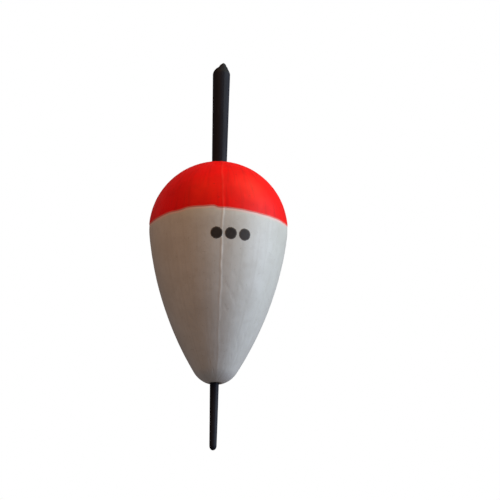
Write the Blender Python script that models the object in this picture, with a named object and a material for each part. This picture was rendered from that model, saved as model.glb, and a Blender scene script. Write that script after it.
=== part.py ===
# Peg float for a fishing line: a pear-shaped foam body, dip-painted white with a red dome,
# and a tapered peg that is pushed down the bore to wedge the line.
# Metres, +Z up along the bore. The origin is the centre of the bore's lower mouth.

import math

import bmesh
import bpy
from mathutils.geometry import intersect_sphere_sphere_2d

# Body, over the white paint. Its side view is three arcs, each tangent to the next, and a flat end.
# The red paint on the dome brings it to 28 mm across.
DOME_RADIUS = 0.01387
DOME_CENTRE_Z = 0.0313  # the widest circle, over the flat end
DOME_BELOW_CENTRE = math.radians(7.1)  # the dome's arc goes on this far under the widest circle
FLANK_RADIUS = 0.0693
TIP_RADIUS = 0.0051
LAND_RADIUS = 0.0015  # flat ring round the lower mouth

# Bore, straight-tapered like the core pin that leaves it
UPPER_MOUTH_RADIUS = 0.00162
LOWER_MOUTH_RADIUS = 0.00110

# Paint and ink, each lying just clear of what is under it
COAT = 0.00008
COAT_GAP = 0.00005
INK = 0.00004
FOAM_INSET = COAT + COAT_GAP
RED_INSET = -COAT_GAP - COAT

# Printed size dots, in a row round the body under the red edge
DOT_COUNT = 3
DOT_RADIUS = 0.0012
DOT_PITCH = math.radians(12.0)
DOT_ROW_MIDDLE = math.radians(10.5)  # from the body's front (-Y), towards +X
DOT_ROW_DROP = 0.0046  # under the widest circle

# Peg, pushed home
PEG_TIP_Z = -0.0132
PEG_TIP_RADIUS = 0.00070
PEG_SHOULDER_Z = 0.0653
PEG_SHOULDER_RADIUS = 0.00179
PEG_COLLAR_HEIGHT = 0.0014  # the bevelled end over the shoulder
PEG_COLLAR_RADIUS = 0.00085
SPRUE_RADIUS = 0.00040  # the broken-off stub of the moulding sprue
SPRUE_OFFSET = 0.00028
PEG_TOP_Z = 0.0677

# Facets
ROUND_BODY = 48
ROUND_PEG = 32
ROUND_DOT = 20
DOT_RINGS = 3
DOME_STEPS = 9
FLANK_STEPS = 7
TIP_STEPS = 4
PEG_TIP_STEPS = 5


def clear_scene():
    for obj in list(bpy.data.objects):
        bpy.data.objects.remove(obj, do_unlink=True)


def principled(name, colour, roughness):
    material = bpy.data.materials.new(name)
    material.use_nodes = True
    shader = material.node_tree.nodes["Principled BSDF"]
    shader.inputs["Base Color"].default_value = (*colour, 1.0)
    shader.inputs["Roughness"].default_value = roughness
    shader.inputs["Metallic"].default_value = 0.0
    return material


def add_object(name, builder, material, parent, location=(0.0, 0.0, 0.0)):
    """Makes the bmesh an object, with its normals out and its round faces smooth, and places it."""
    bmesh.ops.recalc_face_normals(builder, faces=builder.faces)
    mesh = bpy.data.meshes.new(name)
    builder.to_mesh(mesh)
    builder.free()
    mesh.shade_smooth()
    mesh.set_sharp_from_angle(angle=math.radians(35.0))
    mesh.materials.append(material)
    obj = bpy.data.objects.new(name, mesh)
    bpy.context.scene.collection.objects.link(obj)
    obj.parent = parent
    obj.location = location
    return obj


def add_axis():
    """The empty that every piece hangs from, on the bore's axis at the lower mouth."""
    axis = bpy.data.objects.new("float_axis", None)
    bpy.context.scene.collection.objects.link(axis)
    return axis


def arc(centre, radius, start, end, steps):
    """Points (r, z) along an arc, from angle start to angle end about centre, both ends included."""
    angles = [start + (end - start) * i / steps for i in range(steps + 1)]
    return [(centre[0] + radius * math.cos(a), centre[1] + radius * math.sin(a)) for a in angles]


def flank_centre():
    """On the line from the dome's centre through the point where the dome gives way to the flank."""
    reach = FLANK_RADIUS - DOME_RADIUS
    drop = reach * math.sin(DOME_BELOW_CENTRE)
    return (-reach * math.cos(DOME_BELOW_CENTRE), DOME_CENTRE_Z + drop)


def tip_centre():
    """TIP_RADIUS from the flat end's edge, and tangent inside the flank: where two circles cross."""
    crossings = intersect_sphere_sphere_2d(
        (LAND_RADIUS, 0.0), TIP_RADIUS, flank_centre(), FLANK_RADIUS - TIP_RADIUS
    )
    return tuple(max(crossings, key=lambda point: point.y))


def dome_outline(inset, lowest):
    """From the upper mouth down to the angle lowest, this far inside the white paint's surface."""
    radius = DOME_RADIUS - inset
    mouth = math.acos(UPPER_MOUTH_RADIUS / radius)
    return arc((0.0, DOME_CENTRE_Z), radius, mouth, lowest, DOME_STEPS)


def body_outline(inset):
    """The whole side view, from mouth to mouth, this far inside the white paint's surface."""
    flank = flank_centre()
    tip = tip_centre()
    join = math.atan2(tip[1] - flank[1], tip[0] - flank[0])
    land = math.asin((inset - tip[1]) / (TIP_RADIUS - inset))
    points = dome_outline(inset, -DOME_BELOW_CENTRE)
    points += arc(flank, FLANK_RADIUS - inset, -DOME_BELOW_CENTRE, join, FLANK_STEPS)[1:]
    points += arc(tip, TIP_RADIUS - inset, join, land, TIP_STEPS)[1:]
    points.append((LOWER_MOUTH_RADIUS, inset))
    return points


def turn(points, segments, closed):
    """Spins a profile of (r, z) points once round Z. A closed profile makes a body with a bore."""
    builder = bmesh.new()
    verts = [builder.verts.new((r, 0.0, z)) for r, z in points]
    pairs = list(zip(verts, verts[1:]))
    if closed:
        pairs.append((verts[-1], verts[0]))
    edges = [builder.edges.new(pair) for pair in pairs]
    bmesh.ops.spin(
        builder,
        geom=verts + edges,
        cent=(0.0, 0.0, 0.0),
        axis=(0.0, 0.0, 1.0),
        angle=math.tau,
        steps=segments,
        use_merge=True,
    )
    bmesh.ops.remove_doubles(builder, verts=builder.verts, dist=1e-7)
    return builder


def add_foam_body(axis):
    """The moulded foam core. Its inner wall is the bore."""
    material = principled("expanded_polystyrene", (0.80, 0.79, 0.75), 0.75)
    builder = turn(body_outline(FOAM_INSET), ROUND_BODY, closed=True)
    return add_object("foam_body", builder, material, axis)


def add_white_coat(axis):
    """White dip paint over all of the foam, the part under the red included."""
    material = principled("white_dip_paint", (0.72, 0.71, 0.68), 0.45)
    outside = body_outline(0.0)
    inside = body_outline(COAT)
    builder = turn(outside + inside[::-1], ROUND_BODY, closed=True)
    return add_object("white_coat", builder, material, axis)


def add_red_coat(axis):
    """Red dip paint over the white, from the upper mouth down to the widest circle."""
    material = principled("red_dip_paint", (0.72, 0.015, 0.012), 0.4)
    outside = dome_outline(RED_INSET, 0.0)
    inside = dome_outline(RED_INSET + COAT, 0.0)
    builder = turn(outside + inside[::-1], ROUND_BODY, closed=True)
    return add_object("red_coat", builder, material, axis)


def flank_radius_at(z):
    """How far the white paint's surface is from the axis at height z on the flank."""
    centre_r, centre_z = flank_centre()
    return centre_r + math.sqrt(FLANK_RADIUS**2 - (z - centre_z) ** 2)


def add_size_dot(number, material, axis):
    """A round patch of ink, laid on the white coat and bent to it."""
    azimuth = DOT_ROW_MIDDLE + DOT_PITCH * (number - (DOT_COUNT + 1) / 2)
    middle_z = DOME_CENTRE_Z - DOT_ROW_DROP
    builder = bmesh.new()
    bmesh.ops.create_circle(builder, segments=ROUND_DOT, radius=DOT_RADIUS, cap_ends=True)
    ring_width = DOT_RADIUS / DOT_RINGS
    for _ in range(DOT_RINGS - 1):
        middle = [face for face in builder.faces if len(face.verts) == ROUND_DOT]
        bmesh.ops.inset_region(builder, faces=middle, thickness=ring_width, use_even_offset=True)
    for vert in builder.verts:
        z = middle_z + vert.co.y
        radius = flank_radius_at(z) + COAT_GAP + INK
        angle = azimuth + vert.co.x / DOME_RADIUS
        vert.co = (radius * math.sin(angle), -radius * math.cos(angle), z)
    dot = add_object(f"size_dot_{number}", builder, material, axis)
    ink = dot.modifiers.new("ink thickness", "SOLIDIFY")
    ink.thickness = INK
    ink.offset = -1.0
    return dot


def peg_radius_at(z):
    """The peg's straight taper, between its tip and its shoulder."""
    share = (z - PEG_TIP_Z) / (PEG_SHOULDER_Z - PEG_TIP_Z)
    return PEG_TIP_RADIUS + (PEG_SHOULDER_RADIUS - PEG_TIP_RADIUS) * share


def add_peg(axis):
    """The tapered peg. Its origin is on the slide's axis, at the height of the upper mouth."""
    material = principled("black_moulded_plastic", (0.013, 0.013, 0.015), 0.5)
    home = DOME_CENTRE_Z + DOME_RADIUS
    tip = arc((0.0, PEG_TIP_Z + PEG_TIP_RADIUS), PEG_TIP_RADIUS, -math.pi / 2, 0.0, PEG_TIP_STEPS)
    collar_z = PEG_SHOULDER_Z + PEG_COLLAR_HEIGHT
    taper = [(peg_radius_at(z), z) for z in (0.0, home, PEG_SHOULDER_Z)]
    end = [(PEG_COLLAR_RADIUS, collar_z), (SPRUE_RADIUS, PEG_TOP_Z), (0.0, PEG_TOP_Z)]
    builder = turn(tip + taper + end, ROUND_PEG, closed=False)
    for vert in builder.verts:
        share = max(0.0, (vert.co.z - PEG_SHOULDER_Z) / (PEG_TOP_Z - PEG_SHOULDER_Z))
        vert.co.x += SPRUE_OFFSET * share
        vert.co.z -= home
    return add_object("peg", builder, material, axis, (0.0, 0.0, home))


def main():
    clear_scene()
    axis = add_axis()
    add_foam_body(axis)
    add_white_coat(axis)
    add_red_coat(axis)
    ink = principled("dark_print_ink", (0.020, 0.014, 0.012), 0.55)
    for number in range(1, DOT_COUNT + 1):
        add_size_dot(number, ink, axis)
    add_peg(axis)


main()
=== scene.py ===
# Looks of a peg float: a foam body dipped white and then red, three printed dots, and a black peg
import math

import bpy
import numpy as np
from mathutils import Matrix, Vector


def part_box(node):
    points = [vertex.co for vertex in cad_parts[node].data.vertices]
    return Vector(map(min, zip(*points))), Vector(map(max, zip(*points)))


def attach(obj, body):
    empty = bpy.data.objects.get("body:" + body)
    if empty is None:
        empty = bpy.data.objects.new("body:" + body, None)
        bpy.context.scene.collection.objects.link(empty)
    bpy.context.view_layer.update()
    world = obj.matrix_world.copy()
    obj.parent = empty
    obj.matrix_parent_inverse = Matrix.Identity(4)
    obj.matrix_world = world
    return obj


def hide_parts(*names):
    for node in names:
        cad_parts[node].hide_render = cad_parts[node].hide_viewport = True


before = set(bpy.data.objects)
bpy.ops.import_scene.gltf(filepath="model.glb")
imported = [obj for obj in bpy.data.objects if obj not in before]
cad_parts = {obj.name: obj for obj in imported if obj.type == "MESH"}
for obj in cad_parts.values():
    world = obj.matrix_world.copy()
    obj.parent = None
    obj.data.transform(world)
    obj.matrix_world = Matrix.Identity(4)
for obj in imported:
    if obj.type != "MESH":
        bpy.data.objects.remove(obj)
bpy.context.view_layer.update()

mm = 0.001


# Hex such as "c8c8c4" to the linear colour that shaders take
def linearColour(hexText):
    srgb = np.array([int(hexText[i:i + 2], 16) for i in (0, 2, 4)]) / 255.0
    linear = np.where(srgb <= 0.04045, srgb / 12.92, ((srgb + 0.055) / 1.055) ** 2.4)
    return (*linear.tolist(), 1.0)


# 0 below low, 1 above high, and an S-curve between them
def ramp(value, low, high):
    share = np.clip((value - low) / (high - low), 0.0, 1.0)
    return share * share * (3.0 - 2.0 * share)


# Adds up count sine waves over the angle and the length along the side view. Each takes a whole number
# of turns round the body, so that the pattern meets itself, and the sum is scaled to about -1 to 1.
def ripples(angle, along, turns, waveLength, count, seed):
    random = np.random.default_rng(seed)
    highest = 1.6  # a sum of sines seldom passes this many times the root of their number
    total = np.zeros(np.broadcast(angle, along).shape)
    for _ in range(count):
        timesRound = random.integers(turns[0], turns[1] + 1)
        pitch = math.tau / random.uniform(*waveLength) * random.choice((-1, 1))
        total += np.sin(timesRound * angle + pitch * along + random.uniform(0, math.tau))
    return total / math.sqrt(count) / highest


# Puts a grid of points (rows, columns, 3) into a mesh piece. Its columns always meet round the back. Its
# rows meet too when ring is set, and otherwise the first and the last row each close onto one point.
def gridPiece(name, points, body, node, material, ring=False, attributes=None):
    rows, columns = points.shape[:2]
    index = np.arange(rows * columns).reshape(rows, columns)
    across = np.roll(index, -1, axis=1)
    if ring:
        corners = np.stack([index, np.roll(index, -1, axis=0), np.roll(across, -1, axis=0), across], axis=-1)
        quads = corners.reshape(-1, 4)
        flat = points.reshape(-1, 3)
        caps = np.zeros((0, 3), int)
    else:
        quads = np.stack([index[:-1], index[1:], across[1:], across[:-1]], axis=-1).reshape(-1, 4)
        poles = np.array([points[0].mean(axis=0), points[-1].mean(axis=0)])
        flat = np.concatenate([points.reshape(-1, 3), poles])
        first = np.stack([np.full(columns, rows * columns), index[0], across[0]], axis=-1)
        last = np.stack([np.full(columns, rows * columns + 1), across[-1], index[-1]], axis=-1)
        caps = np.concatenate([first, last])
    mesh = bpy.data.meshes.new(name)
    mesh.from_pydata(flat.tolist(), [], quads.tolist() + caps.tolist())
    for key, values in (attributes or {}).items():
        values = np.asarray(values, np.float32)
        vector = values.ndim == 3
        layer = mesh.attributes.new(key, "FLOAT_VECTOR" if vector else "FLOAT", "POINT")
        ends = np.stack([values[0].mean(axis=0), values[-1].mean(axis=0)]).ravel()
        whole = np.concatenate([values.ravel(), [] if ring else ends])
        layer.data.foreach_set("vector" if vector else "value", whole.astype(np.float32))
    mesh.shade_smooth()
    mesh.materials.append(material)
    piece = bpy.data.objects.new(name, mesh)
    bpy.context.scene.collection.objects.link(piece)
    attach(piece, body)
    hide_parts(node)
    print("piece", name, len(flat), "points")
    return piece


bodyShape = {
    "flankRadius": 69.3 * mm,
    "tipRadius": 5.1 * mm,
    "landRadius": 1.5 * mm,
    "domeBelow": math.radians(7.1),  # the dome's arc goes on this far under the widest circle
    "redStandsProud": 0.13 * mm,  # CAD distance from the white paint to the red one's outside
    "cornerBlend": 0.10 * mm,
    "upperMouth": 1.62 * mm,
    "lowerMouth": 1.10 * mm,
    "arcPoints": 2000,
    "landPoints": 200,
    "evenPoints": 6001,
}
redLow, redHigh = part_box("red_coat")
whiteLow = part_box("white_coat")[0]
pegLow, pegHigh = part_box("peg")
widestZ = redLow.z
outerRadius = redHigh.x
domeRadius = outerRadius - bodyShape["redStandsProud"]


# The white paint's side view from the upper mouth to the lower one: an arc for the dome, a long arc for
# the flank, a tight arc at the narrow end and a flat ring, each starting where the last one ends. The line
# is read off at equal steps and softened by a short bell curve. Gives length, radius, height and normal.
def sideView():
    shape = bodyShape
    below = shape["domeBelow"]
    reach = shape["flankRadius"] - domeRadius
    flank = np.array([-reach * math.cos(below), widestZ + reach * math.sin(below)])
    apart = np.array([shape["landRadius"], whiteLow.z]) - flank
    span = np.linalg.norm(apart)
    far = shape["flankRadius"] - shape["tipRadius"]
    onLine = (span**2 + far**2 - shape["tipRadius"] ** 2) / (2 * span)
    offLine = math.sqrt(far**2 - onLine**2)
    unit = apart / span
    tip = flank + unit * onLine + np.array([-unit[1], unit[0]]) * offLine
    join = math.atan2(tip[1] - flank[1], tip[0] - flank[0])
    land = math.atan2(whiteLow.z - tip[1], shape["landRadius"] - tip[0])
    arcs = (
        ((0.0, widestZ), domeRadius, math.acos(shape["upperMouth"] / domeRadius), -below),
        (flank, shape["flankRadius"], -below, join),
        (tip, shape["tipRadius"], join, land),
    )
    pieces = []
    for centre, radius, start, end in arcs:
        turn = np.linspace(start, end, shape["arcPoints"])
        arm = radius * np.stack([np.cos(turn), np.sin(turn)], axis=1)
        pieces.append(np.array(centre) + arm)
    pieces.append(np.linspace(pieces[-1][-1], (shape["lowerMouth"], whiteLow.z), shape["landPoints"]))
    line = np.concatenate(pieces)
    steps = np.concatenate([[0.0], np.cumsum(np.linalg.norm(np.diff(line, axis=0), axis=1))])
    even = np.linspace(0.0, steps[-1], shape["evenPoints"])
    line = np.stack([np.interp(even, steps, line[:, 0]), np.interp(even, steps, line[:, 1])], axis=1)
    width = shape["cornerBlend"] / (even[1] - even[0])
    tail = 60  # points on each side, several widths of the bell
    bell = np.exp(-0.5 * (np.arange(-tail, tail + 1) / width) ** 2)
    bell /= bell.sum()
    padded = np.pad(line, ((tail, tail), (0, 0)), mode="reflect", reflect_type="odd")
    soft = np.stack([np.convolve(padded[:, i], bell, mode="valid") for i in (0, 1)], axis=1)
    slope = np.gradient(soft, even, axis=0)
    slope /= np.linalg.norm(slope, axis=1)[:, None]
    return {"along": even, "radius": soft[:, 0], "z": soft[:, 1], "outR": -slope[:, 1], "outZ": slope[:, 0]}


side = sideView()
sideLength = side["along"][-1]
widestAlong = float(np.interp(0.0, widestZ - side["z"], side["along"]))


# A point of the body: the side view at that length, moved out along its normal by lift, and turned to
# the angle, which is 0 at the front (-Y) and grows towards +X
def bodyPoint(along, angle, lift):
    along, angle = np.broadcast_arrays(along, angle)
    radius = np.interp(along, side["along"], side["radius"])
    z = np.interp(along, side["along"], side["z"])
    radius = radius + lift * np.interp(along, side["along"], side["outR"])
    z = z + lift * np.interp(along, side["along"], side["outZ"])
    return np.stack([radius * np.sin(angle), -radius * np.cos(angle), z], axis=-1)


# Waves are given as the times round, the lengths, how many there are and the seed that ripples takes
moulding = {
    "seamAngle": math.radians(3.0),  # the two halves of the mould met here, and again opposite
    "seamHeight": 0.065 * mm,
    "seamUnderRed": 0.55,  # the red fills in beside the ridge, so it stands less proud there
    "seamWidth": 0.25 * mm,
    "seamEnds": (0.2 * mm, 3.0 * mm),  # it dies out this near the lower mouth
    "seamWander": 0.17 * mm,
    "wanderSines": (  # the share, the length for a radian, and the start at the front and at the back
        (0.55, 2.60 * mm, 0.0, 2.1),
        (0.30, 1.07 * mm, 1.3, 5.5),
        (0.15, 0.46 * mm, 0.4, 2.5),
    ),
    "seamPath": (4.0 * mm, 9.4 * mm, 18.4 * mm, 26.3 * mm, 33.0 * mm),  # length from the widest circle
    "seamDrift": (0.0, -0.16 * mm, 0.04 * mm, -0.27 * mm, -0.10 * mm),  # towards -X, as the mould was cut
    "seamFade": 0.55,  # it was rubbed down more and more towards the narrow end
    "fadePath": (8.0 * mm, 25.0 * mm),  # length from the widest circle
    "rubbed": (0.74, 0.26, 0.25),  # share of the ridge that is left: its middle, its swing and the least
    "rubbedWaves": ((0, 0), (2.4 * mm, 9.0 * mm), 4, 11),
    "columnCrowding": 0.84,  # how strongly the mesh's columns gather at the two seams
    "wave": 0.014 * mm,
    "waveShares": (0.6, 0.4),  # of the long and of the fine waves
    "longWaves": ((1, 9), (9.0 * mm, 26.0 * mm), 9, 3),
    "fineWaves": ((14, 42), (2.6 * mm, 7.0 * mm), 12, 5),
    "pits": 0.020 * mm,
    "pitWaves": ((11, 30), (3.0 * mm, 6.0 * mm), 10, 8),
    "pitOnset": (0.75, 1.25),  # a pit begins where its waves stand this high, and is full where this high
    "smoothEnds": (1.5 * mm, 2.0 * mm),  # no waves or pits this near the upper and the lower mouth
}


# Column angles round the body. They are crowded towards both seams by taking away a sine of twice the
# angle, so that the narrow ridge has enough columns.
def columnAngles(count):
    even = np.arange(count) / count * math.tau
    return even + moulding["seamAngle"] - 0.5 * moulding["columnCrowding"] * np.sin(2.0 * even)


# Distance round the body from the nearer seam, as the seam wanders to and fro along its length
def seamDistance(along, angle):
    radius = np.interp(along, side["along"], side["radius"])
    turned = angle - moulding["seamAngle"]
    back = np.cos(turned) < 0.0
    turned = np.where(back, turned - math.pi, turned)
    turned = np.arctan2(np.sin(turned), np.cos(turned))
    wander = 0.0
    for share, length, front, behind in moulding["wanderSines"]:
        wander = wander + share * np.sin(along / length + np.where(back, behind, front))
    drift = np.interp(along - widestAlong, moulding["seamPath"], moulding["seamDrift"])
    return turned * radius - moulding["seamWander"] * wander + drift


# 1 on the crest of the seam, falling off as a bell curve, with gaps where it was rubbed down
def seamShare(along, angle):
    look = moulding
    crest = np.exp(-(seamDistance(along, angle) / look["seamWidth"]) ** 2)
    middle, swing, least = look["rubbed"]
    rubbed = middle + swing * ripples(0.0 * angle, along, *look["rubbedWaves"])
    kept = 1.0 - look["seamFade"] * ramp(along - widestAlong, *look["fadePath"])
    return crest * np.clip(rubbed, least, 1.0) * kept


# How far the paint stands off the plain side view: long and fine waves, shallow rounded pits where beads of
# foam didn't fill, and the seam's ridge at this strength
def relief(along, angle, seamStrength=1.0):
    look = moulding
    longShare, fineShare = look["waveShares"]
    waves = longShare * ripples(angle, along, *look["longWaves"])
    waves = waves + fineShare * ripples(angle, along, *look["fineWaves"])
    hollow = ramp(ripples(angle, along, *look["pitWaves"]), *look["pitOnset"])
    upperEnd, lowerEnd = look["smoothEnds"]
    endFade = ramp(along, 0.0, upperEnd) * ramp(sideLength - along, 0.0, lowerEnd)
    bumps = endFade * (look["wave"] * waves - look["pits"] * hollow)
    ridge = look["seamHeight"] * seamStrength * seamShare(along, angle)
    return bumps + ramp(sideLength - along, *look["seamEnds"]) * ridge


# The dip line, in degrees round from the front and in heights over the widest circle
dipLine = {
    "leftRise": (-78.0, -38.0, 0.36 * mm),  # it climbs by this much between these angles
    "middleRise": (-14.0, -2.0, 0.12 * mm),
    "rightFall": (12.0, 40.0, 0.17 * mm),
    "base": -0.12 * mm,
    "patch": (-29.5, -2.0, 0.37 * mm),  # the flat step where the float was held
    "patchEnds": (3.2, 1.7),  # how gently it steps up and down
    "sag": (33.0, 30.0, 0.20 * mm),  # its middle, width and depth
    "backRise": (66.0, 100.0, 1.1 * mm),  # to both sides: the float hung crooked in the bath
    "frontEnds": (100.0, 150.0),  # what is drawn for the front fades out between these
    "ragged": 0.035 * mm,
    "raggedWaves": ((7, 31), (1.0, 2.0), 9, 21),
    "lazy": 0.06 * mm,  # a slow wander, from the sides to the back
    "lazyWaves": ((2, 5), (1.0, 2.0), 3, 4),
    "lazyOnset": (60.0, 110.0),
}


# The red edge's height over the widest circle: S-curves up and down across the front, a flat step between
# two tanh curves, a bell-shaped sag, one rise to the back on each side, and ripples all round
def redEdgeHeight(angle):
    look = dipLine
    turned = np.degrees(np.arctan2(np.sin(angle), np.cos(angle)))
    front = look["base"]
    for key, sign in (("leftRise", 1.0), ("middleRise", 1.0), ("rightFall", -1.0)):
        start, end, height = look[key]
        front = front + sign * height * ramp(turned, start, end)
    front = front * (1.0 - ramp(abs(turned), *look["frontEnds"]))
    patchStart, patchEnd, patchHeight = look["patch"]
    up, down = look["patchEnds"]
    patch = 0.5 * patchHeight * (np.tanh((turned - patchStart) / up) - np.tanh((turned - patchEnd) / down))
    sagMiddle, sagWidth, sagDepth = look["sag"]
    sag = sagDepth * np.exp(-(((turned - sagMiddle) / sagWidth) ** 2))
    backStart, backEnd, backHeight = look["backRise"]
    back = backHeight * ramp(abs(turned), backStart, backEnd)
    ragged = look["ragged"] * ripples(angle, 0.0, *look["raggedWaves"])
    lazy = look["lazy"] * ripples(angle, 0.0, *look["lazyWaves"]) * ramp(abs(turned), *look["lazyOnset"])
    return front + patch - sag + back + ragged + lazy


# Length along the side view at which the red ends
def redEdgeAlong(angle):
    z = widestZ + redEdgeHeight(angle)
    return np.interp(-z, -side["z"], side["along"])


# Coordinates that follow the side view: a ring of the body's full width for the angle, and the length
# along it for the height, so that streaks run from one end to the other and meet round the back
def meridian(along, angle):
    along, angle = np.broadcast_arrays(along, angle)
    return np.stack([domeRadius * np.sin(angle), -domeRadius * np.cos(angle), along], axis=-1)


# Adds a node, sets its properties and sockets, and links what is a socket. A socket is named with _ for each
# space, or is i and its place where names repeat.
def addNode(tree, kind, properties=None, **sockets):
    node = tree.nodes.new(kind)
    for key, value in (properties or {}).items():
        setattr(node, key, value)
    for key, value in sockets.items():
        place = int(key[1:]) if key[0] == "i" and key[1:].isdigit() else key.replace("_", " ")
        if isinstance(value, bpy.types.NodeSocket):
            tree.links.new(value, node.inputs[place])
        else:
            node.inputs[place].default_value = value
    return node


smoothStep = {"interpolation_type": "SMOOTHSTEP"}
colourMix = {"data_type": "RGBA", "clamp_factor": True}
wearSpan = {"From_Min": 0.3, "From_Max": 0.7}  # a noise seldom leaves these values


# Lays a colour, given as hex, over another where the value runs from low to high, up to the most share
def tinted(tree, colour, value, low, high, most, hexText):
    span = {"Value": value, "From_Min": low, "From_Max": high, "To_Min": 0.0, "To_Max": most}
    share = addNode(tree, "ShaderNodeMapRange", smoothStep, **span).outputs[0]
    top = linearColour(hexText)
    return addNode(tree, "ShaderNodeMix", colourMix, i0=share, i6=colour, i7=top).outputs[2]


# Noise of this grain size over the coordinates, with detail finer layers, drawn out along an axis where
# stretch is under 1
def grain(tree, coordinates, size, detail, stretch=(1.0, 1.0, 1.0)):
    moved = addNode(tree, "ShaderNodeMapping", Vector=coordinates, Scale=stretch).outputs[0]
    sockets = {"Vector": moved, "Scale": 1.0 / size, "Detail": detail}
    return addNode(tree, "ShaderNodeTexNoise", **sockets).outputs["Fac"]


# A new material, its node tree and its shader, with what is the same all over the surface
def startMaterial(name, look):
    material = bpy.data.materials.new(name)
    material.use_nodes = True
    shader = material.node_tree.nodes["Principled BSDF"]
    shader.inputs["IOR"].default_value = look["ior"]
    shader.inputs["Specular IOR Level"].default_value = look["specular"]
    return material, material.node_tree, shader


# Gives the shader what varies over the surface: the colour, the bumps laid one on another, each with its
# depth and strength, and a roughness that follows the wear from the look's smooth end to its rough one
def finishMaterial(tree, shader, look, colour, wear, bumps, inverted=False):
    ends = {"To_Min": look["smooth"], "To_Max": look["rough"]}
    roughness = addNode(tree, "ShaderNodeMapRange", smoothStep, Value=wear, **wearSpan, **ends).outputs[0]
    under = {}
    for height, (depth, strength) in bumps:
        sockets = {"Height": height, "Distance": depth, "Strength": strength, **under}
        under = {"Normal": addNode(tree, "ShaderNodeBump", {"invert": inverted}, **sockets).outputs[0]}
    tree.links.new(colour, shader.inputs["Base Color"])
    tree.links.new(roughness, shader.inputs["Roughness"])
    tree.links.new(under["Normal"], shader.inputs["Normal"])


# White alkyd dip paint over foam. The dip gives it a satin skin that softens the bead pattern under it;
# handling leaves it faintly mottled and grey, and the next dip leaves a breath of pink at its edge. The
# crest of the mould seam is painted lighter: a painted highlight, where the ridge catches the light.
# In this dictionary and the next ones, a grain gives its size, its detail and how it is drawn out, a tint
# gives the pattern's values where it starts and where it is full, its greatest share and its colour, and a
# bump gives its depth and its strength.
whitePaint = {
    "base": "d0d0cc",
    "patchGrain": (6.5 * mm, 4.0),
    "patchTint": (0.35, 0.72, 0.55, "bfbdb7"),
    "mottleGrain": (1.3 * mm, 3.0),
    "mottleTint": (0.42, 0.72, 0.35, "bfbdb7"),
    "streakGrain": (0.8 * mm, 2.0, (1.0, 1.0, 0.05)),  # 0.05 draws it out twenty times
    "streakTint": (0.50, 0.75, 0.45, "bfbdb7"),
    "streakBump": (0.014 * mm, 0.6),
    "dirtGrain": (0.45 * mm, 2.0),  # specks of dust in the paint are finer than this, and wouldn't show
    "dirtTint": (0.66, 0.74, 0.25, "8f877c"),
    # painted highlight: the seam's crest is drawn lighter, as the ridge catches the light
    "seamTint": (0.15, 0.85, 0.8, "ecece8"),
    "pinkTint": (0.0, 1.0, 0.9, "f8c8c2"),
    "beadSize": 2.4 * mm,  # pre-expanded polystyrene beads
    "beadSmoothness": 0.6,
    "beadBump": (0.034 * mm, 0.5),
    "peelGrain": (0.7 * mm, 2.0),  # a dip's real orange peel is about half that, which wouldn't show
    "peelBump": (0.015 * mm, 0.6),
    "smooth": 0.39,
    "rough": 0.54,
    "ior": 1.48,
    "specular": 0.5,
}


def whiteDipPaint():
    look = whitePaint
    material, tree, shader = startMaterial("white dip paint", look)
    place = addNode(tree, "ShaderNodeTexCoord").outputs["Object"]
    follow = addNode(tree, "ShaderNodeAttribute", {"attribute_name": "meridian"}).outputs["Vector"]
    seam = addNode(tree, "ShaderNodeAttribute", {"attribute_name": "seam"}).outputs["Fac"]
    under = addNode(tree, "ShaderNodeAttribute", {"attribute_name": "underEdge"}).outputs["Fac"]
    patches = grain(tree, place, *look["patchGrain"])
    mottle = grain(tree, place, *look["mottleGrain"])
    streaks = grain(tree, follow, *look["streakGrain"])
    dirt = grain(tree, place, *look["dirtGrain"])
    peel = grain(tree, place, *look["peelGrain"])
    cells = {"Vector": place, "Scale": 1.0 / look["beadSize"], "Smoothness": look["beadSmoothness"]}
    beads = addNode(tree, "ShaderNodeTexVoronoi", {"feature": "SMOOTH_F1"}, **cells).outputs["Distance"]

    colour = tinted(tree, linearColour(look["base"]), patches, *look["patchTint"])
    colour = tinted(tree, colour, mottle, *look["mottleTint"])
    colour = tinted(tree, colour, streaks, *look["streakTint"])
    colour = tinted(tree, colour, dirt, *look["dirtTint"])
    # painted highlight along the seam's crest, where the ridge catches the light
    colour = tinted(tree, colour, seam, *look["seamTint"])
    colour = tinted(tree, colour, under, *look["pinkTint"])
    bumps = ((beads, look["beadBump"]), (peel, look["peelBump"]), (streaks, look["streakBump"]))
    finishMaterial(tree, shader, look, colour, patches, bumps)
    return material


# Fluorescent red dip paint. It is a thin lacquer, so it is paler where it thins out, on the crest of the
# seam and at the dip line, and shallow brush-like streaks run down from the mouth.
redPaint = {
    "base": "fb0505",
    "patchGrain": (5.0 * mm, 4.0),
    "patchTint": (0.35, 0.7, 1.0, "ea0404"),
    "streakGrain": (0.9 * mm, 1.5, (1.0, 1.0, 0.14)),
    "streakTint": (0.46, 0.78, 0.42, "c80808"),
    "streakBump": (0.018 * mm, 0.7),
    "dirtGrain": (0.5 * mm, 2.0),
    "dirtTint": (0.66, 0.75, 0.3, "9a1a14"),
    "seamTint": (0.2, 0.9, 0.42, "ff3a30"),
    "rimTint": (0.0, 1.0, 0.9, "ff8f84"),
    "peelGrain": (0.8 * mm, 2.0),  # as on the white, twice the real size
    "peelBump": (0.014 * mm, 0.6),
    "smooth": 0.44,
    "rough": 0.58,
    "ior": 1.50,
    "specular": 0.16,
}


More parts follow.
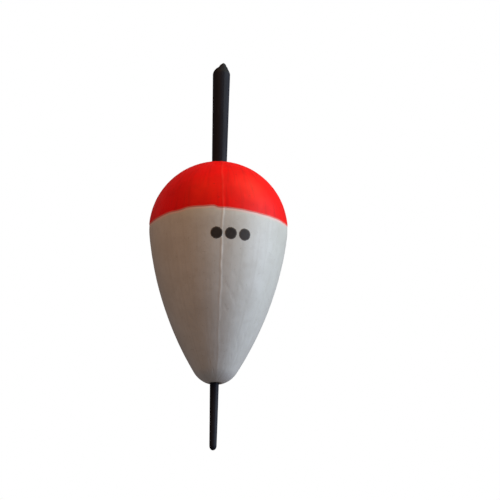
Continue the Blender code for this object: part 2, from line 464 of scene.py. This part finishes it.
def redDipPaint():
    look = redPaint
    material, tree, shader = startMaterial("red dip paint", look)
    place = addNode(tree, "ShaderNodeTexCoord").outputs["Object"]
    follow = addNode(tree, "ShaderNodeAttribute", {"attribute_name": "meridian"}).outputs["Vector"]
    seam = addNode(tree, "ShaderNodeAttribute", {"attribute_name": "seam"}).outputs["Fac"]
    rim = addNode(tree, "ShaderNodeAttribute", {"attribute_name": "rim"}).outputs["Fac"]
    patches = grain(tree, place, *look["patchGrain"])
    streaks = grain(tree, follow, *look["streakGrain"])
    dirt = grain(tree, place, *look["dirtGrain"])
    peel = grain(tree, place, *look["peelGrain"])

    colour = tinted(tree, linearColour(look["base"]), patches, *look["patchTint"])
    colour = tinted(tree, colour, streaks, *look["streakTint"])
    colour = tinted(tree, colour, dirt, *look["dirtTint"])
    colour = tinted(tree, colour, seam, *look["seamTint"])
    colour = tinted(tree, colour, rim, *look["rimTint"])
    bumps = ((peel, look["peelBump"]), (streaks, look["streakBump"]))
    finishMaterial(tree, shader, look, colour, patches, bumps)
    return material


# Pad-printed ink. It is a dark brown-black film, thin enough at its rim to go grey, and flatter in gloss
# than the paint under it.
printInk = {
    "base": "201815",
    "mottleGrain": (0.5 * mm, 3.0),
    "mottleTint": (0.35, 0.7, 1.0, "2c2320"),
    "mottleBump": (0.010 * mm, 0.6),
    "poreGrain": (0.16 * mm, 2.0),
    "poreTint": (0.62, 0.72, 0.2, "6d665f"),
    "rimTint": (0.72, 1.0, 0.6, "6b645e"),
    "smooth": 0.50,
    "rough": 0.68,
    "ior": 1.50,
    "specular": 0.5,
}


def padPrintInk():
    look = printInk
    material, tree, shader = startMaterial("pad print ink", look)
    place = addNode(tree, "ShaderNodeTexCoord").outputs["Object"]
    rim = addNode(tree, "ShaderNodeAttribute", {"attribute_name": "rim"}).outputs["Fac"]
    mottle = grain(tree, place, *look["mottleGrain"])
    pores = grain(tree, place, *look["poreGrain"])

    colour = tinted(tree, linearColour(look["base"]), mottle, *look["mottleTint"])
    colour = tinted(tree, colour, pores, *look["poreTint"])
    colour = tinted(tree, colour, rim, *look["rimTint"])
    finishMaterial(tree, shader, look, colour, mottle, ((mottle, look["mottleBump"]),))
    return material


# Injection-moulded black polypropylene. The tool leaves it satin, with faint flow marks along its length,
# and line and fingers have scuffed it grey here and there.
pegPlastic = {
    "base": "20222c",
    "cloudGrain": (3.5 * mm, 3.0, (1.0, 1.0, 0.4)),
    "cloudTint": (0.35, 0.7, 1.0, "191a23"),
    "flowGrain": (0.7 * mm, 3.0, (1.0, 1.0, 0.06)),
    "flowBump": (0.020 * mm, 0.5),
    "scuffGrain": (0.35 * mm, 2.0, (1.0, 1.0, 0.25)),
    "scuffTint": (0.64, 0.76, 0.4, "34363e"),
    "scuffBump": (0.012 * mm, 0.6),
    "tornTint": (0.3, 1.0, 0.5, "2a2a30"),
    "smooth": 0.52,
    "rough": 0.68,
    "ior": 1.49,
    "specular": 0.12,
}


def mouldedPolypropylene():
    look = pegPlastic
    material, tree, shader = startMaterial("black moulded polypropylene", look)
    place = addNode(tree, "ShaderNodeTexCoord").outputs["Object"]
    torn = addNode(tree, "ShaderNodeAttribute", {"attribute_name": "torn"}).outputs["Fac"]
    flow = grain(tree, place, *look["flowGrain"])
    cloud = grain(tree, place, *look["cloudGrain"])
    scuffs = grain(tree, place, *look["scuffGrain"])

    colour = tinted(tree, linearColour(look["base"]), cloud, *look["cloudTint"])
    colour = tinted(tree, colour, scuffs, *look["scuffTint"])
    colour = tinted(tree, colour, torn, *look["tornTint"])
    bumps = ((flow, look["flowBump"]), (scuffs, look["scuffBump"]))
    finishMaterial(tree, shader, look, colour, flow, bumps)
    return material


# Moulded expanded polystyrene. Pressed-together beads show as flat-sided cells with darker gaps between.
bareFoam = {
    "base": "f0efea",
    "beadSize": 1.6 * mm,
    "beadTint": (0.0, 1.0, 1.0, "e2e0d8"),
    "gapWidth": 0.12,  # as a share of a bead
    "gapTint": (0.4, 1.0, 0.6, "a9a59b"),
    "gapBump": (0.12 * mm, 0.7),
    "skinGrain": (0.3 * mm, 2.0),
    "skinTint": (0.6, 0.75, 0.3, "cfccc2"),
    "smooth": 0.70,
    "rough": 0.85,
    "ior": 1.50,
    "specular": 0.5,
}


def expandedPolystyrene():
    look = bareFoam
    material, tree, shader = startMaterial("moulded expanded polystyrene", look)
    place = addNode(tree, "ShaderNodeTexCoord").outputs["Object"]
    cells = {"Vector": place, "Scale": 1.0 / look["beadSize"]}
    toEdge = {"feature": "DISTANCE_TO_EDGE"}
    edges = addNode(tree, "ShaderNodeTexVoronoi", toEdge, **cells).outputs["Distance"]
    beads = addNode(tree, "ShaderNodeTexVoronoi", **cells).outputs["Color"]
    tone = addNode(tree, "ShaderNodeSeparateColor", i0=beads).outputs[0]
    skin = grain(tree, place, *look["skinGrain"])
    span = {"Value": edges, "From_Min": 0.0, "From_Max": look["gapWidth"], "To_Min": 1.0, "To_Max": 0.0}
    gaps = addNode(tree, "ShaderNodeMapRange", smoothStep, **span).outputs[0]

    colour = tinted(tree, linearColour(look["base"]), tone, *look["beadTint"])
    colour = tinted(tree, colour, gaps, *look["gapTint"])
    colour = tinted(tree, colour, skin, *look["skinTint"])
    finishMaterial(tree, shader, look, colour, skin, ((gaps, look["gapBump"]),), inverted=True)
    return material


whiteFilm = {
    "thickness": 0.075 * mm,
    "rows": 176,
    "innerRows": 60,
    "columns": 400,
    "tuck": 0.012 * mm,  # the white sinks this much right under the red edge
    "tuckLength": 1.3 * mm,
    "tuckStart": -0.4 * mm,  # it begins under the red
    "haloWidth": 0.38 * mm,  # how far the red has bled into the white
    "haloStart": -0.5 * mm,
}


# The white coat: rows along the side view at equal steps, lifted by the relief, then the same way back
# inside at the film's thickness, so that rows and columns both meet and the film is closed
def makeWhiteCoat():
    look = whiteFilm
    angle = columnAngles(look["columns"])[None, :]
    out = np.linspace(0.0, sideLength, look["rows"])[:, None]
    below = out - redEdgeAlong(angle)
    sink = look["tuck"] * np.exp(-np.clip(below, 0.0, None) / look["tuckLength"])
    tuck = sink * ramp(below, look["tuckStart"], 0.0)
    lift = relief(out, angle) - tuck
    outer = bodyPoint(out, angle, lift)
    inward = np.linspace(sideLength, 0.0, look["innerRows"])[:, None]
    inner = bodyPoint(inward, angle, -look["thickness"] + 0.0 * angle)
    grid = np.concatenate([outer, inner])
    along = np.concatenate([out, inward])
    halo = np.exp(-(np.clip(below, 0.0, None) / look["haloWidth"]) ** 2)
    halo = halo * ramp(below, look["haloStart"], 0.0)
    attributes = {
        "meridian": meridian(along, angle),
        "seam": np.concatenate([seamShare(out, angle), np.zeros((look["innerRows"], look["columns"]))]),
        "underEdge": np.concatenate([halo, np.zeros((look["innerRows"], look["columns"]))]),
    }
    gridPiece("whiteCoat", grid, "float_body", "white_coat", whiteDipPaint(), True, attributes)


redFilm = {
    "clearance": 0.012 * mm,
    "innerClearance": 0.0072 * mm,
    "thickness": 0.040 * mm,
    "edgeBuildUp": 0.030 * mm,  # paint ran down and gathered at the dip line
    "buildUpLength": 1.5 * mm,
    "edgeRound": 0.45 * mm,
    "rimWidth": 0.22 * mm,  # the film thins out here, and the white under it shows through
    "ridgeFade": 0.5 * mm,  # within this of the line the seam's ridge gets back its full height
    "boxMargin": 0.003 * mm,  # stays this far inside the CAD's radius
    "rowCrowding": 1.6,
    "rows": 130,
    "innerRows": 60,
    "columns": 400,
}


# The red coat: rows from the mouth to the dip line, closer together as they near it. The film is even,
# swells by a bell curve towards the line, and comes down to nothing over a quarter ellipse at the line.
def makeRedCoat():
    look = redFilm
    angle = columnAngles(look["columns"])[None, :]
    edge = redEdgeAlong(angle)
    share = 1.0 - (1.0 - np.linspace(0.0, 1.0, look["rows"])[:, None]) ** look["rowCrowding"]
    out = share * edge
    left = edge - out
    rounded = np.sqrt(np.clip(1.0 - (1.0 - np.clip(left / look["edgeRound"], 0.0, 1.0)) ** 2, 0.0, 1.0))
    film = look["thickness"] + look["edgeBuildUp"] * np.exp(-((left / look["buildUpLength"]) ** 2))
    ridge = moulding["seamUnderRed"] + (1.0 - moulding["seamUnderRed"]) * ramp(left, look["ridgeFade"], 0.0)
    lift = look["clearance"] + relief(out, angle, ridge) + film * rounded
    outer = bodyPoint(out, angle, lift)
    reach = np.hypot(outer[..., 0], outer[..., 1])
    outer[..., :2] *= np.minimum(1.0, (outerRadius - look["boxMargin"]) / reach)[..., None]
    back = np.linspace(1.0, 0.0, look["innerRows"])[1:, None] * edge
    inner = bodyPoint(back, angle, look["innerClearance"] + relief(back, angle))
    grid = np.concatenate([outer, inner])
    along = np.concatenate([out, back])
    rim = np.exp(-((left / look["rimWidth"]) ** 2))
    attributes = {
        "meridian": meridian(along, angle),
        "seam": np.concatenate([seamShare(out, angle), np.zeros(back.shape)]),
        "rim": np.concatenate([rim, np.zeros(back.shape)]),
    }
    gridPiece("redCoat", grid, "float_body", "red_coat", redDipPaint(), True, attributes)


dotPrint = {
    "count": 3,
    "radius": 1.18 * mm,
    "clearance": 0.012 * mm,
    "thickness": 0.022 * mm,
    "rough": 0.035 * mm,  # how far the outline wanders
    "roughWaves": ((3, 17), (1.0, 2.0), 7),  # each dot has a seed of its own
    "firstSeed": 40,
    "innermost": 0.03,  # share of the radius
    "ringCrowding": 0.7,
    "rimPower": 8,  # the higher, the narrower the band over which the film comes down
    "rings": 22,
    "columns": 96,
}


# One printed dot: rings about its middle, the outermost wandering by a few sines, laid on the white coat
# and raised by the film, which is even and comes down at the rim as the root of 1 less a high power of the
# share of the radius. The same rings go back underneath.
def makeDot(number, ink):
    look = dotPrint
    low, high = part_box(f"size_dot_{number}")
    middle = (low + high) / 2
    middleAngle = math.atan2(middle.x, -middle.y)
    middleAlong = float(np.interp(-middle.z, -side["z"], side["along"]))
    middleRadius = float(np.interp(middleAlong, side["along"], side["radius"]))
    turn = np.arange(look["columns"]) / look["columns"] * math.tau
    wobble = ripples(turn, 0.0, *look["roughWaves"], look["firstSeed"] + number)
    outline = look["radius"] + look["rough"] * wobble[None, :]
    share = (np.linspace(look["innermost"], 1.0, look["rings"]) ** look["ringCrowding"])[:, None]
    back = share[::-1][1:]
    rings = np.concatenate([share, back])
    along = middleAlong + rings * outline * np.cos(turn)[None, :]
    angle = middleAngle + rings * outline * np.sin(turn)[None, :] / middleRadius
    film = look["thickness"] * np.sqrt(np.clip(1.0 - share ** look["rimPower"], 0.0, 1.0))
    lift = np.concatenate([film, 0.0 * back]) + look["clearance"] + relief(along, angle)
    grid = bodyPoint(along, angle, lift)
    rim = np.concatenate([share, 0.0 * back + 1.0]) + 0.0 * angle
    node = f"size_dot_{number}"
    gridPiece(f"sizeDot{number}", grid, "float_body", node, ink, False, {"rim": rim})


pegShape = {
    "tipRadius": 0.70 * mm,
    "tipRound": 0.85 * mm,
    "tipFullness": (0.94, 1.01),  # share of that radius at the point and where the rounding ends
    "shoulderZ": 65.3 * mm,
    "coneZ": (65.3 * mm, 66.15 * mm, 66.8 * mm, 67.35 * mm),
    "coneRadius": (1.79 * mm, 1.42 * mm, 0.90 * mm, 0.54 * mm),
    "topRadius": 0.14 * mm,
    "headStart": -0.8 * mm,  # from the shoulder, where the rows get closer together
    "softRows": 5.0,  # width of the bell that rounds the corners, in rows
    "softStart": (-0.7 * mm, -0.3 * mm),  # from the shoulder
    "softEnd": 0.25 * mm,  # under the top
    "mouldLine": 0.022 * mm,
    "mouldLineWidth": 0.10 * mm,
    "mouldLineTurn": 0.35,
    "mouldLineStart": (1.0 * mm, 4.0 * mm),  # over the tip
    "uneven": 0.010 * mm,
    "unevenWaves": ((1, 3), (7.0 * mm, 19.0 * mm), 5, 61),
    "unevenStart": 2.0 * mm,  # over the tip
    "tornStart": 0.1 * mm,  # over the shoulder
    "tornDepth": 0.12,  # share of the radius, as is the notch's depth
    "tornWaves": ((2, 7), (0.6 * mm, 1.6 * mm), 8, 77),
    "notch": (1.35 * mm, 0.24 * mm, 0.17),  # its height over the shoulder, its width and its depth
    "notchSide": (0.1, 0.9),
    "stubLean": 0.36 * mm,
    "leanPower": 1.6,
    "aside": -0.10 * mm,  # it leans on one side of the bore
    "rows": (26, 150, 110),  # on the tip, the shaft and the head
    "columns": 128,
}


# The peg: rings up the axis from the rounded tip, a straight taper, a rounded shoulder and the cut, torn
# end. The radius is read off that line of points and softened by a short bell curve above the shoulder.
# The mould line is a bell curve on two sides. Above the shoulder each ring is bent by sines and notched
# on one side, as torn plastic is, and the rings lean towards +X.
def makePeg():
    look = pegShape
    turn = (np.arange(look["columns"]) / look["columns"] * math.tau)[None, :]
    low, high, shoulder = pegLow.z, pegHigh.z, look["shoulderZ"]
    tipCount, shaftCount, headCount = look["rows"]
    bend = np.linspace(0.02, 1.0, tipCount) * math.pi / 2
    tipRows = low + look["tipRound"] * (1.0 - np.cos(bend))
    shaftRows = np.linspace(tipRows[-1], shoulder + look["headStart"], shaftCount)[1:]
    headRows = np.linspace(shoulder + look["headStart"], high, headCount)[1:]
    z = np.concatenate([tipRows, shaftRows, headRows])
    knots = np.array([low, *look["coneZ"], high])
    radii = np.array([look["tipRadius"], *look["coneRadius"], look["topRadius"]])
    radius = np.interp(z, knots, radii)
    fullness = np.interp(bend, (0.0, math.pi / 2), look["tipFullness"])
    radius[:tipCount] = look["tipRadius"] * np.sin(bend) * fullness
    tail = 12  # rows on each side
    bell = np.exp(-0.5 * (np.arange(-tail, tail + 1) / look["softRows"]) ** 2)
    soft = np.convolve(np.pad(radius, tail, mode="edge"), bell / bell.sum(), mode="valid")
    softLow, softHigh = look["softStart"]
    head = ramp(z, shoulder + softLow, shoulder + softHigh) * ramp(high - z, 0.0, look["softEnd"])
    radius = (radius + (soft - radius) * head)[:, None]
    z = z[:, None]
    torn = ramp(z, shoulder + look["tornStart"], high)
    line = np.exp(-((np.sin(turn - look["mouldLineTurn"]) * radius / look["mouldLineWidth"]) ** 2))
    radius = radius + look["mouldLine"] * line * ramp(z - low, *look["mouldLineStart"]) * (1.0 - torn)
    uneven = ripples(turn, z, *look["unevenWaves"]) * ramp(z - low, 0.0, look["unevenStart"])
    radius = radius + look["uneven"] * uneven
    ragged = ripples(turn, z, *look["tornWaves"])
    notchHeight, notchWidth, notchDepth = look["notch"]
    notch = np.exp(-(((z - shoulder - notchHeight) / notchWidth) ** 2))
    notch = notch * ramp(-np.sin(turn), *look["notchSide"])
    radius = radius * (1.0 + look["tornDepth"] * torn * ragged - notchDepth * notch)
    lean = look["stubLean"] * torn ** look["leanPower"] + look["aside"]
    points = np.stack([radius * np.sin(turn) + lean, -radius * np.cos(turn), z + 0.0 * turn], axis=-1)
    attributes = {"torn": (torn + 0.0 * turn)[::-1]}
    plastic = mouldedPolypropylene()
    gridPiece("linePeg", points[::-1], "line_peg", "peg", plastic, False, attributes)


print("stage: coats")
makeWhiteCoat()
makeRedCoat()
print("stage: print")
dotInk = padPrintInk()
for number in range(1, dotPrint["count"] + 1):
    makeDot(number, dotInk)
print("stage: peg and foam")
makePeg()
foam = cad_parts["foam_body"]
foam.data.materials.clear()
foam.data.materials.append(expandedPolystyrene())


studio = {
    "floorZ": -0.40,
    "floorSize": 6.0,
    "floorPoints": 9,
    "floorBase": "f4f4f3",
    "floorGrain": (0.4, 3.0),
    "floorTint": (0.3, 0.7, 1.0, "efefed"),
    "floorGlow": 0.9,
    "floorRoughness": 0.9,
    "ior": 1.50,  # of the floor, as the next is
    "specular": 0.5,
    "backdrop": "ffffff",
    "fill": "ffede7",
    "fillStrength": 0.16,
}


# A pale floor far under the float, which hangs clear of it, and which the lights' bounce ignores
def makeFloor():
    look = studio
    steps = np.linspace(-look["floorSize"] / 2, look["floorSize"] / 2, look["floorPoints"])
    x, y = np.meshgrid(steps, steps)
    points = np.stack([x, y, np.full(x.shape, look["floorZ"])], axis=-1).reshape(-1, 3)
    index = np.arange(x.size).reshape(x.shape)
    corners = [index[:-1, :-1], index[:-1, 1:], index[1:, 1:], index[1:, :-1]]
    faces = np.stack(corners, axis=-1).reshape(-1, 4)
    mesh = bpy.data.meshes.new("floor")
    mesh.from_pydata(points.tolist(), [], faces.tolist())
    material, tree, shader = startMaterial("pale studio floor", look)
    place = addNode(tree, "ShaderNodeTexCoord").outputs["Object"]
    cloud = grain(tree, place, *look["floorGrain"])
    colour = tinted(tree, linearColour(look["floorBase"]), cloud, *look["floorTint"])
    tree.links.new(colour, shader.inputs["Base Color"])
    tree.links.new(colour, shader.inputs["Emission Color"])
    shader.inputs["Emission Strength"].default_value = look["floorGlow"]
    shader.inputs["Roughness"].default_value = look["floorRoughness"]
    mesh.materials.append(material)
    floor = bpy.data.objects.new("floor", mesh)
    bpy.context.scene.collection.objects.link(floor)
    floor.visible_diffuse = False
    floor.visible_glossy = False


# The backdrop that the camera sees is white; the light it gives the float is a dim warm fill
def makeWorld():
    world = bpy.data.worlds.new("studio")
    bpy.context.scene.world = world
    world.use_nodes = True
    tree = world.node_tree
    tree.nodes.clear()
    seen = addNode(tree, "ShaderNodeLightPath").outputs["Is Camera Ray"]
    fill = {"Color": linearColour(studio["fill"]), "Strength": studio["fillStrength"]}
    given = addNode(tree, "ShaderNodeBackground", **fill)
    shown = addNode(tree, "ShaderNodeBackground", Color=linearColour(studio["backdrop"]), Strength=1.0)
    mix = addNode(tree, "ShaderNodeMixShader", i0=seen, i1=given.outputs[0], i2=shown.outputs[0])
    addNode(tree, "ShaderNodeOutputWorld", Surface=mix.outputs[0])


# Softboxes: the degrees round to +X and up that each shines from, its distance and its side in metres,
# its power in watts and its colour
softboxes = {
    "window": (77.0, 10.0, 0.7, 0.55, 5.3, "dbe8ff"),
    "high": (70.0, 50.0, 0.7, 0.5, 2.25, "f7ffc4"),
    "lamp": (-30.0, 50.0, 0.7, 0.5, 1.85, "ffae55"),
}


def makeLights():
    aim = Vector((0.0, 0.0, widestZ))
    for name, (azimuth, elevation, distance, size, power, colour) in softboxes.items():
        turn, rise = math.radians(azimuth), math.radians(elevation)
        towards = Vector((math.sin(turn) * math.cos(rise), -math.cos(turn) * math.cos(rise), math.sin(rise)))
        light = bpy.data.lights.new(name, "AREA")
        light.shape = "SQUARE"
        light.size = size
        light.energy = power
        light.color = linearColour(colour)[:3]
        lamp = bpy.data.objects.new(name, light)
        lamp.location = aim + towards * distance
        lamp.rotation_mode = "QUATERNION"
        lamp.rotation_quaternion = towards.to_track_quat("Z", "Y")
        bpy.context.scene.collection.objects.link(lamp)


cameraView = {
    "distance": 0.3217,  # from the widest circle's middle
    "elevation": math.radians(-17.5),
    "tilt": math.radians(1.32),
    "lens": 115.2,
    "sensor": 36.0,
    "aside": 31.62 / 1600.0,  # how far the float stands left of the picture's middle, over the distance
    "above": 19.52 / 1600.0,
}


# The camera looks up at the front. It is turned aside from the float's middle rather than shifted.
def makeCamera():
    look = cameraView
    rise = look["elevation"]
    aim = Vector((0.0, 0.0, widestZ))
    ahead = Vector((0.0, math.cos(rise), math.sin(-rise)))
    right = Vector((1.0, 0.0, 0.0))
    up = right.cross(ahead)
    turned = math.cos(look["tilt"]) * right + math.sin(look["tilt"]) * up
    up = math.cos(look["tilt"]) * up - math.sin(look["tilt"]) * right
    place = aim - look["distance"] * ahead
    forward = (ahead + turned * look["aside"] - up * look["above"]).normalized()
    right = forward.cross(up).normalized()
    up = right.cross(forward)
    data = bpy.data.cameras.new("camera")
    data.lens = look["lens"]
    data.sensor_width = look["sensor"]
    data.clip_start = 0.01
    data.clip_end = 20.0
    camera = bpy.data.objects.new("camera", data)
    basis = Matrix((right, up, -forward)).transposed().to_4x4()
    camera.matrix_world = Matrix.Translation(place) @ basis
    bpy.context.scene.collection.objects.link(camera)
    bpy.context.scene.camera = camera


print("stage: studio")
makeFloor()
makeWorld()
makeLights()
makeCamera()
bpy.context.scene.view_settings.view_transform = "Standard"

print("stage: finish")
